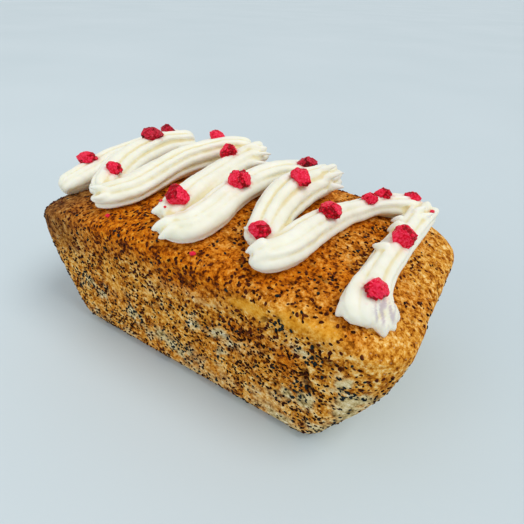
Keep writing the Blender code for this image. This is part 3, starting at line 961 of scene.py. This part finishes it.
def tone_frosting(ribbon, berries):
    """Store the faint pink stain round the raspberries, and the painted bluish shade on the thin smear near
    the last strand's end.
    """
    stain, smear_shade = [], []
    start, direction = sight(SMEAR_SHADE_PIXEL)
    shaded_spot = surface_of(ribbon).ray_cast(start, direction)[0]
    trees = [surface_of(berry) for berry in berries]
    middles = [np.mean(coordinates(berry.data), axis=0) for berry in berries]
    for point in coordinates(ribbon.data):
        nearest = 1.0
        for tree, middle in zip(trees, middles):
            if abs(point - middle).max() < STAIN_NEAR:
                found = tree.find_nearest(Vector(point), STAIN_REACH)
                if found[0] is not None:
                    nearest = min(nearest, found[3])
        speck = rough(point, 700.0)
        stain.append(ramp(STAIN_WIDTH * (0.6 + 0.8 * speck) - nearest, 0.0, STAIN_FADE))
        # Painted bluish shade, in streaks, round the spot on the smear.
        local = Vector(point) - CENTRING
        streak = rough((local.x * 900.0 + local.y * 500.0, local.y * 160.0, local.z * 300.0))
        smear_shade.append(smoothstep(1.8 * blob(point, shaded_spot, SMEAR_SHADE_SIZE)) * ramp(streak, -0.10, 0.25))
    set_attribute(ribbon.data, "stain", stain)
    set_attribute(ribbon.data, "smear_shade", smear_shade)


# ---- raspberry pieces ----


def cell_bump(point, scale):
    """Round bumps packed side by side: 1 in their middles, 0 in the creases between them."""
    distances = noise.voronoi(point * scale)[0]
    return smoothstep((distances[1] - distances[0]) * 1.5)


def berry_breaks(chance):
    """Directions and depths of the flat faces where the piece broke."""
    breaks = []
    for _ in range(BREAKS):
        across, along, up = chance.uniform(-1, 1), chance.uniform(-1, 1), chance.uniform(-0.5, 0.9)
        breaks.append((Vector((across, along, up)).normalized(), chance.uniform(*BREAK_DEPTHS)))
    return breaks


def berry_radius(direction, place, breaks):
    """(radius, whether a break cuts it) in this direction, for a piece of unit size."""
    lump = rough(direction, LUMP_SCALE, place) + rough(direction, FINE_LUMP_SCALE, place) / 2
    radius = 1.0 + LUMP * lump
    broken = False
    for towards, depth in breaks:
        reach = direction.dot(towards)
        if reach > 0.0 and radius * reach > depth:
            radius = depth / reach + (radius - depth / reach) * BREAK_ROUNDING
            broken = True
    return radius, broken


def berry_skin(local, place, broken):
    """(height, shade) of the fruit's cells and grain here. The shade is painted shade in the creases between
    cells and a painted highlight on their middles; on broken faces the grain adds to it.
    """
    bend = rough(local, CELL_BEND_SCALE, place) * CELL_BEND
    cell = cell_bump(local + place * 0.01 + Vector((bend, -bend, bend)), CELL_SCALE)
    fine = rough(local, FINE_SCALE, place)
    coarse = rough(local, COARSE_SCALE, place * 3.0)
    if broken:
        height = BROKEN_CELL_HEIGHT * (cell - 0.7)
        shade = 0.62 + 0.25 * cell + 0.5 * fine
    else:
        height = CELL_HEIGHT * (cell - 0.75)
        shade = 0.65 * cell
    return height + FINE_GRAIN * fine + COARSE_GRAIN * coarse, shade


def build_raspberry(number, row, surface):
    x, y, length, width, height, turn = row
    size = Vector((length, width, height)) / 2000
    start = Vector((x / 1000 + CENTRING.x, y / 1000 + CENTRING.y, 1.0))
    landing = surface.ray_cast(start, -UP)[0]
    middle = landing + UP * (height / 1000 * BERRY_SINK)
    turning = Matrix.Rotation(math.radians(turn), 3, "Z")
    place = Vector((x, y, length)) * LUMP_SHIFT
    breaks = berry_breaks(random.Random(number))
    bm = bmesh.new()
    bmesh.ops.create_icosphere(bm, subdivisions=BERRY_DETAIL, radius=1.0)
    shades = []
    for vert in bm.verts:
        direction = vert.co.copy()
        radius, broken = berry_radius(direction, place, breaks)
        local = Vector([part * radius * scale for part, scale in zip(direction, size)])
        rise, shade = berry_skin(local, place, broken)
        vert.co = turning @ (local + direction.normalized() * rise) + middle
        shades.append(shade)
    berry = object_from(bm, f"berry_piece_{number:02d}")
    # The cell values carry the painted shade and highlight of the drupelets.
    set_attribute(berry.data, "cell", shades)
    values = coordinates(berry.data)
    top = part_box(f"raspberry_{number:02d}")[1][2]
    values[:, 2] += min(top + BERRY_RISE - values[:, 2].max(), 0.0)
    set_coordinates(berry.data, values)
    return berry


def build_crumb(name, place, normal, radius):
    """An uneven crumb, pressed a little into what it lies on."""
    bm = bmesh.new()
    bmesh.ops.create_icosphere(bm, subdivisions=CRUMB_DETAIL, radius=1.0)
    shift = place * 900.0
    for vert in bm.verts:
        bump = 1.0 + 0.45 * rough(vert.co, 1.6, shift) + 0.25 * rough(vert.co, 4.0, shift)
        vert.co = vert.co * bump * radius
        vert.co.z *= 0.8
        vert.co += place + normal * radius * 0.35
    crumb = object_from(bm, name)
    set_attribute(crumb.data, "cell", np.full(len(crumb.data.vertices), 0.7))
    return crumb


# ---- materials ----


class Nodes:
    """Short ways to add and join shader nodes."""

    def __init__(self, name):
        self.material = bpy.data.materials.new(name)
        self.material.use_nodes = True
        self.tree = self.material.node_tree

    def feed(self, node, values):
        """Store numbers in the node's sockets, and link everything else to them."""
        for name, value in values.items():
            if isinstance(value, (float, tuple)):
                node.inputs[name].default_value = value
            else:
                self.tree.links.new(value, node.inputs[name])

    def add(self, kind, values, **settings):
        node = self.tree.nodes.new(kind)
        for key, value in settings.items():
            setattr(node, key, value)
        self.feed(node, values)
        return node

    def place(self):
        return self.add("ShaderNodeTexCoord", {}).outputs["Object"]

    def attribute(self, name):
        return self.add("ShaderNodeAttribute", {}, attribute_name=name).outputs["Fac"]

    def noise(self, scale, detail, roughness):
        values = {"Vector": self.place(), "Scale": scale, "Detail": detail, "Roughness": roughness}
        return self.add("ShaderNodeTexNoise", values).outputs["Fac"]

    def cells(self, scale):
        return self.add("ShaderNodeTexVoronoi", {"Vector": self.place(), "Scale": scale}).outputs["Distance"]

    def math(self, operation, first, second):
        return self.add("ShaderNodeMath", {0: first, 1: second}, operation=operation).outputs[0]

    def times(self, first, second):
        return self.math("MULTIPLY", first, second)

    def blend(self, *parts):
        """The sum of (value, weight) pairs."""
        total = self.times(*parts[0])
        for part in parts[1:]:
            total = self.math("ADD", total, self.times(*part))
        return total

    def span(self, value, low, high, to_low=0.0, to_high=1.0):
        values = {"Value": value, "From Min": low, "From Max": high, "To Min": to_low, "To Max": to_high}
        return self.add("ShaderNodeMapRange", values).outputs["Result"]

    def ramp(self, value, stops):
        node = self.add("ShaderNodeValToRGB", {"Fac": value})
        elements = node.color_ramp.elements
        while len(elements) < len(stops):
            elements.new(0.5)
        for element, (position, colour) in zip(elements, stops):
            element.position = position
            element.color = linear(colour)
        return node.outputs["Color"]

    def mix(self, share, first, second):
        """The first colour, or the second where the share is 1."""
        if isinstance(second, tuple):
            second = linear(second)
        return self.add("ShaderNodeMix", {0: share, 6: first, 7: second}, data_type="RGBA").outputs[2]

    def bump(self, height, strength, distance):
        values = {"Height": height, "Strength": strength, "Distance": distance}
        return self.add("ShaderNodeBump", values).outputs["Normal"]

    def finish(self, values):
        """Feed the shader and give back the material."""
        self.feed(self.tree.nodes["Principled BSDF"], values)
        return self.material


def linear(colour):
    """Linear values of an 8-bit display colour, fully opaque."""
    shares = [part / 255 for part in colour]
    return (*(part / 12.92 if part <= 0.04045 else ((part + 0.055) / 1.055) ** 2.4 for part in shares), 1.0)


def crust_material():
    n = Nodes("crust_baked")
    clumps = n.noise(240.0, 3.0, 0.6)
    coarse = n.noise(560.0, 4.0, 0.6)
    fine = n.noise(1300.0, 3.0, 0.65)
    crags = n.blend((clumps, 0.38), (coarse, 0.62))
    mottle = n.blend((crags, 0.76), (fine, 0.24))
    brown = n.attribute("brown")
    tones = {name: n.ramp(mottle, stops) for name, stops in CRUST_TONES.items()}
    colour = n.mix(brown, tones["crumb"], tones["brown"])
    # Painted highlight in a golden tone along the top's front edge and on the near end.
    colour = n.mix(n.attribute("golden_highlight"), colour, tones["golden_highlight"])
    colour = n.mix(n.times(n.attribute("pale"), 0.95), colour, tones["pale"])
    colour = n.mix(n.attribute("smoky"), colour, tones["smoky"])
    scorch = n.span(n.noise(300.0, 4.0, 0.6), 0.55, 0.68, 0.0, 0.5)
    colour = n.mix(n.times(scorch, brown), colour, SCORCHED)
    chips = n.span(n.cells(760.0), 0.12, 0.34, 0.4, 0.0)
    chips = n.times(chips, n.span(n.noise(700.0, 2.0, 0.5), 0.5, 0.6))
    chips = n.times(chips, n.span(brown, 0.2, 0.8, 1.0, 0.25))
    colour = n.mix(chips, colour, CHIPPED)
    return n.finish({
        # Painted shade darkens the crust's hollows and creases.
        "Base Color": n.mix(n.span(n.attribute("hollow_shade"), 0.1, 0.9, 0.0, 0.6), colour, PAINTED_HOLLOW_SHADE),
        "Roughness": n.span(mottle, 0.35, 0.65, 0.84, 0.66),
        "Specular IOR Level": 0.05,
        "Normal": n.bump(n.blend((crags, 1.4), (n.cells(800.0), 0.2), (fine, 0.3)), 0.6, 0.0007),
    })


def seed_material(name, low, high, roughness):
    n = Nodes(name)
    return n.finish({
        "Base Color": n.ramp(n.noise(900.0, 2.0, 0.5), ((0.35, low), (0.65, high))),
        "Roughness": roughness,
        "Specular IOR Level": 0.06,
        "Normal": n.bump(n.cells(5200.0), 0.35, 0.00006),
    })


def frosting_material():
    n = Nodes("cream_frosting")
    base = n.ramp(n.noise(140.0, 3.0, 0.5), ((0.3, CREAM_LOW), (0.7, CREAM_HIGH)))
    # Painted shade in a creamy yellow tone fills the grooves between ridges.
    colour = n.mix(n.span(n.attribute("groove_shade"), -0.05, 0.9, 0.0, 0.72), base, CREAM_GROOVE_SHADE)
    colour = n.mix(n.times(n.attribute("stain"), 0.5), colour, STAINED)
    return n.finish({
        # Painted bluish shade on the smear at the last strand's end.
        "Base Color": n.mix(n.times(n.attribute("smear_shade"), 0.8), colour, PAINTED_SMEAR_SHADE),
        "Roughness": 0.5,
        "Specular IOR Level": 0.3,
        "Subsurface Weight": 0.55,
        "Subsurface Radius": (1.0, 0.88, 0.66),
        "Subsurface Scale": 0.0045,
        "Normal": n.bump(n.noise(900.0, 4.0, 0.6), 0.25, 0.00022),
    })


def berry_material(name, tones):
    n = Nodes(name)
    # Painted shade in the creases between drupelets and a painted highlight on their tops, mixed with random
    # tone.
    tone = n.blend((n.attribute("cell"), 0.55), (n.noise(620.0, 4.0, 0.6), 0.5))
    colour = n.ramp(tone, tuple(zip((0.24, 0.50, 0.80), tones)))
    return n.finish({
        "Base Color": n.mix(n.span(n.noise(1500.0, 3.0, 0.6), 0.59, 0.70, 0.0, 0.45), colour, BERRY_DUST),
        "Roughness": 0.40,
        "Specular IOR Level": 0.10,
        "Subsurface Weight": 0.12,
        "Subsurface Radius": (1.0, 0.2, 0.2),
        "Subsurface Scale": 0.0010,
        "Normal": n.bump(n.noise(2000.0, 3.0, 0.6), 0.4, 0.0002),
    })


def floor_material():
    n = Nodes("pale_floor")
    return n.finish({
        "Base Color": n.ramp(n.noise(3.0, 2.0, 0.5), ((0.3, FLOOR_LOW), (0.7, FLOOR_HIGH))),
        "Roughness": 0.6,
        "Specular IOR Level": 0.25,
    })


def use(obj, material):
    obj.data.materials.append(material)


# ---- floor and light ----


def make_floor(material):
    corners = ((-1, -1), (1, -1), (1, 1), (-1, 1))
    floor = new_object("floor", [(x * FLOOR_HALF, y * FLOOR_HALF, 0.0) for x, y in corners], [(0, 1, 2, 3)])
    use(floor, material)


def add_light(name, kind, towards, power, colour):
    """A light that shines in this direction."""
    data = bpy.data.lights.new(name, kind)
    data.energy = power
    data.color = colour
    light = add_object(name, data)
    light.rotation_euler = Vector(towards).to_track_quat("-Z", "Y").to_euler()
    return light


def make_lights():
    world = bpy.data.worlds.new("soft_room")
    world.use_nodes = True
    background = world.node_tree.nodes["Background"]
    background.inputs["Color"].default_value = ROOM_COLOUR
    background.inputs["Strength"].default_value = ROOM_STRENGTH
    bpy.context.scene.world = world
    window = add_light("window", "SUN", WINDOW_WAY, WINDOW_STRENGTH, WINDOW_COLOUR)
    window.data.angle = math.radians(WINDOW_ANGLE)
    fill = add_light("fill", "AREA", FILL_AIM - FILL_PLACE, FILL_POWER, FILL_COLOUR)
    fill.data.shape = "DISK"
    fill.data.size = FILL_SIZE
    fill.location = FILL_PLACE


# ---- the whole scene ----

make_camera()
make_lights()
make_floor(floor_material())

ribbon = build_ribbon()
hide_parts("frosting_ribbon")
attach(ribbon, "root")
use(ribbon, frosting_material())
ribbon_surface = surface_of(ribbon)

red = berry_material("raspberry_red", RED)
dark_red = berry_material("raspberry_dark", DARK_RED)
berries = []
for number, row in enumerate(RASPBERRIES, start=1):
    berry = build_raspberry(number, row, ribbon_surface)
    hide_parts(f"raspberry_{number:02d}")
    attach(berry, "root")
    use(berry, dark_red if number in DARK_RASPBERRIES else red)
    berries.append(berry)
tone_frosting(ribbon, berries)

loaf = build_loaf()
tone_crust(loaf)
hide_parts("loaf_cake")
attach(loaf, "root")
use(loaf, crust_material())
loaf_surface = surface_of(loaf)

seed_pieces = []
for spots, (kind, low, high, roughness) in zip(scatter_seeds(loaf, ribbon_surface), SEED_KINDS):
    seeds = build_seeds(f"seeds_{kind}", spots, random.Random(len(spots)))
    seed_pieces.append(seeds)
    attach(seeds, "root")
    use(seeds, seed_material(f"seed_{kind}", low, high, roughness))

for number, (pixel, radius) in enumerate(CRUMBS, start=1):
    start, direction = sight(pixel)
    for surface in (ribbon_surface, loaf_surface):
        found = surface.ray_cast(start, direction)
        if found[0] is not None:
            crumb = build_crumb(f"berry_crumb_{number}", found[0], found[1], radius)
            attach(crumb, "root")
            use(crumb, red)
            break

# Nothing reaches out of the solids' own box.
low, high = np.array(cad_box[0]), np.array(cad_box[1])
for piece in (ribbon, loaf, *berries, *seed_pieces):
    set_coordinates(piece.data, np.clip(coordinates(piece.data), low, high))
